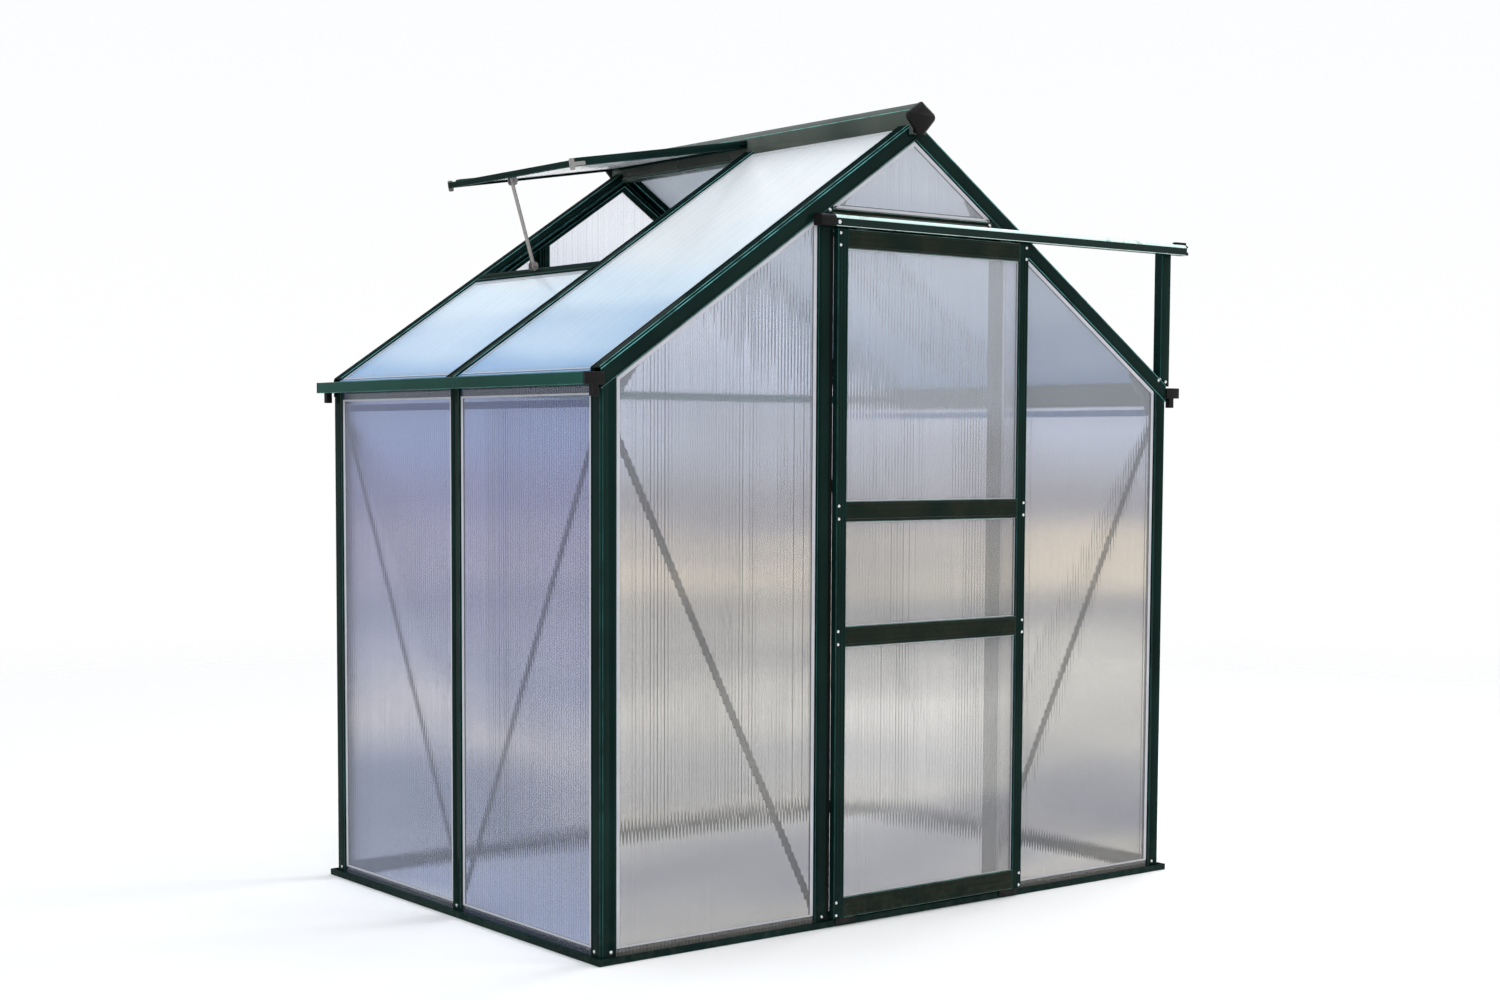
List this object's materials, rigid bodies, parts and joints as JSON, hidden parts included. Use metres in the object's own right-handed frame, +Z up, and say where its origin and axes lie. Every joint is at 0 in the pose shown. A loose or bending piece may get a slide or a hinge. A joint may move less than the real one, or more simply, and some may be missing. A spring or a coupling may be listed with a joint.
{
  "type": "polycarbonate greenhouse",
  "caption": "Small gabled garden greenhouse: dark green aluminium frame, twin-wall polycarbonate panels, sliding gable door, propped roof vent and eave gutters.",
  "frame": {"origin": "middle of the footprint, on the ground under the sills", "axes": "+Z up, the gable with the door faces -Y, +X to the right seen from in front of the door"},
  "size_m": [1.968, 1.352, 2.0263],
  "materials": {
    "green_coat": "dark green powder coat on aluminium extrusions, satin",
    "twin_wall_panel": "translucent fluted twin-wall polycarbonate, glossy outside",
    "mill_aluminium": "plain mill finish",
    "black_plastic": "moulded black plastic, fine grain",
    "steel": "zinc plated",
    "nylon": "natural nylon"
  },
  "bodies": {
    "house": {"back_braces": "mill_aluminium", "back_crossbar": "green_coat", "back_sill": "green_coat", "back_studs": "green_coat", "back_wall_panels": "twin_wall_panel", "corner_post_back_left": "green_coat", "corner_post_back_right": "green_coat", "corner_post_front_left": "green_coat", "corner_post_front_right": "green_coat", "door_header": "green_coat", "door_jambs": "green_coat", "door_track": "green_coat", "eave_gussets": "mill_aluminium", "front_braces": "mill_aluminium", "front_gable_panel": "twin_wall_panel", "front_side_panels": "twin_wall_panel", "front_sill": "green_coat", "gutter_end_caps": "black_plastic", "header_gussets": "mill_aluminium", "left_gutter": "green_coat", "left_roof_panels": "twin_wall_panel", "left_sill": "green_coat", "left_wall_panels": "twin_wall_panel", "middle_rafters": "green_coat", "rafter_back_left": "green_coat", "rafter_back_right": "green_coat", "rafter_front_left": "green_coat", "rafter_front_right": "green_coat", "ridge_beam": "green_coat", "ridge_end_caps": "black_plastic", "right_gutter": "green_coat", "right_roof_panels": "twin_wall_panel", "right_sill": "green_coat", "right_wall_panels": "twin_wall_panel", "side_braces": "mill_aluminium", "side_studs": "green_coat", "side_ties": "mill_aluminium", "track_end_caps": "black_plastic", "track_strut": "green_coat", "vent_panel": "twin_wall_panel", "vent_rails": "green_coat", "vent_side_bars": "green_coat", "vent_sill": "green_coat", "vent_stay": "mill_aluminium"},
    "door": {"door_guides": "black_plastic", "door_hangers": "steel", "door_panes": "twin_wall_panel", "door_rails": "green_coat", "door_rollers": "nylon", "door_stiles": "green_coat"}
  },
  "joints": [
    {"name": "door_slide", "type": "slide", "parent": "house", "child": "door", "axis": [1, 0, 0], "range_m": [0, 0.55]}
  ]
}
